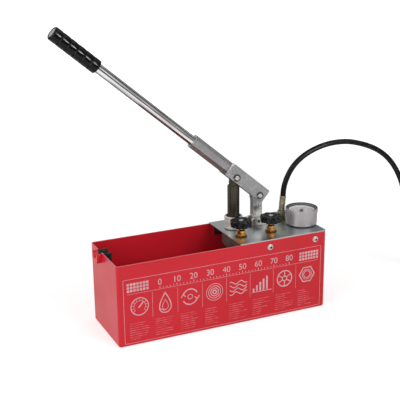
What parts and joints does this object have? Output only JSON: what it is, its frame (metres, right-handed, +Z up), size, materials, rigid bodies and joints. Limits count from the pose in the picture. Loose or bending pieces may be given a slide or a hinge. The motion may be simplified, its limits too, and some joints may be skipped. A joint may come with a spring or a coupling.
{
  "type": "hydrostatic test pump",
  "caption": "Hand-operated hydrostatic test pump: open red sheet steel water tank with a plunger pump, long hand lever, screw valves, pressure gauge and hose",
  "frame": {"origin": "centre of the tank's flat underside", "axes": "+X along the tank towards the end that carries the pump, +Y across it, away from the side with the screw valves, +Z up"},
  "size_m": [1.0841, 0.217, 0.6801],
  "materials": {
    "red_paint": "semi-gloss powder coat",
    "plated_sheet": "bright plated",
    "zinc_steel": "zinc plated",
    "bright_tube": "bright zinc",
    "plunger_steel": "ground, oiled",
    "cast_iron": "machined casting",
    "brass": "turned",
    "black_plastic": "gloss",
    "grey_plastic": "moulded",
    "rubber": "satin",
    "dark_steel": "blackened",
    "gauge_grey": "pressed steel",
    "dial_white": "matt",
    "clear_lens": "clear",
    "crimped_steel": "yellow zinc"
  },
  "bodies": {
    "base": {"tank": "red_paint", "plate_screw_front_left": "zinc_steel", "plate_screw_front_right": "zinc_steel", "plate_screw_rear_left": "zinc_steel", "plate_screw_rear_right": "zinc_steel", "handle_rest": "black_plastic", "top_plate": "plated_sheet", "manifold": "cast_iron", "pump_barrel": "cast_iron", "gland_collar": "plated_sheet", "plunger_wiper": "rubber", "plunger_packing": "rubber", "foot_valve_body": "brass", "suction_strainer": "brass", "riser_pipe": "zinc_steel", "non_return_body": "brass", "non_return_spring": "dark_steel", "valve_body_left": "brass", "valve_body_right": "brass", "valve_gland_left": "brass", "valve_gland_right": "brass", "gauge_socket": "brass", "gauge_case": "gauge_grey", "gauge_bezel": "gauge_grey", "gauge_dial": "dial_white", "gauge_ring": "rubber", "gauge_lens": "clear_lens", "link_bracket": "zinc_steel", "link_foot_pin": "dark_steel", "bracket_screw_left": "dark_steel", "bracket_screw_right": "dark_steel", "hose_adapter": "crimped_steel", "hose_swivel_nut": "crimped_steel", "hose_ferrule": "crimped_steel", "hose": "rubber", "hose_coil": "rubber", "hose_end_ferrule": "crimped_steel", "hose_end_nut": "zinc_steel"},
    "plunger": {"plunger": "plunger_steel"},
    "lever": {"lever_strap_front": "zinc_steel", "lever_strap_rear": "zinc_steel", "lever_socket": "zinc_steel", "lever_tube": "bright_tube", "lever_grip": "rubber", "lever_end_plug": "grey_plastic", "plunger_pin": "plated_sheet", "plunger_pin_clip": "dark_steel", "link_pin": "plated_sheet", "link_pin_clip": "dark_steel"},
    "link": {"link_bar": "zinc_steel"},
    "spindle_left": {"valve_spindle_left": "brass"},
    "knob_left": {"valve_knob_left": "black_plastic", "knob_screw_left": "zinc_steel"},
    "spindle_right": {"valve_spindle_right": "brass"},
    "knob_right": {"valve_knob_right": "black_plastic", "knob_screw_right": "zinc_steel"},
    "pointer": {"gauge_pointer": "dark_steel"},
    "suction_ball": {"suction_ball": "dark_steel"},
    "non_return_ball": {"non_return_ball": "dark_steel"}
  },
  "joints": [
    {"name": "plunger_slide", "type": "slide", "parent": "base", "child": "plunger", "axis": [0, 0, 1], "range_m": [-0.067, 0.0066]},
    {"name": "lever_swing", "type": "hinge", "parent": "plunger", "child": "lever", "pos_m": [0.072, 0.025, 0.317], "axis": [0, 1, 0], "range_deg": [-52, 5]},
    {"name": "link_rock", "type": "hinge", "parent": "base", "child": "link", "pos_m": [0.13158, 0.025, 0.20265], "axis": [0, 1, 0], "range_deg": [-2, 19.7]},
    {"name": "valve_left_rise", "type": "slide", "parent": "base", "child": "spindle_left", "axis": [0, 0, 1], "range_m": [0, 0.00225]},
    {"name": "valve_left_turn", "type": "hinge", "parent": "spindle_left", "child": "knob_left", "pos_m": [0.061, -0.036, 0.22], "axis": [0, 0, 1], "range_deg": [0, 540.5]},
    {"name": "valve_right_rise", "type": "slide", "parent": "base", "child": "spindle_right", "axis": [0, 0, 1], "range_m": [0, 0.00225]},
    {"name": "valve_right_turn", "type": "hinge", "parent": "spindle_right", "child": "knob_right", "pos_m": [0.138, -0.036, 0.22], "axis": [0, 0, 1], "range_deg": [0, 540.5]},
    {"name": "pointer_swing", "type": "hinge", "parent": "base", "child": "pointer", "pos_m": [0.23, -0.018, 0.222], "axis": [0, 0, -1], "range_deg": [0, 270]},
    {"name": "suction_ball_lift", "type": "slide", "parent": "base", "child": "suction_ball", "axis": [0, 0, 1], "range_m": [0, 0.0025]},
    {"name": "non_return_ball_lift", "type": "slide", "parent": "base", "child": "non_return_ball", "axis": [0, 0, 1], "range_m": [0, 0.002], "stiffness_N_per_m": 300, "deforming": ["non_return_spring"]}
  ],
  "couplings": [
    {"joint": "plunger_slide", "follows": "lever_swing", "m_per_rad": 0.073727},
    {"joint": "link_rock", "follows": "lever_swing", "ratio": -0.3771},
    {"joint": "valve_left_turn", "follows": "valve_left_rise", "rad_per_m": 4188.8},
    {"joint": "valve_right_turn", "follows": "valve_right_rise", "rad_per_m": 4188.8}
  ]
}
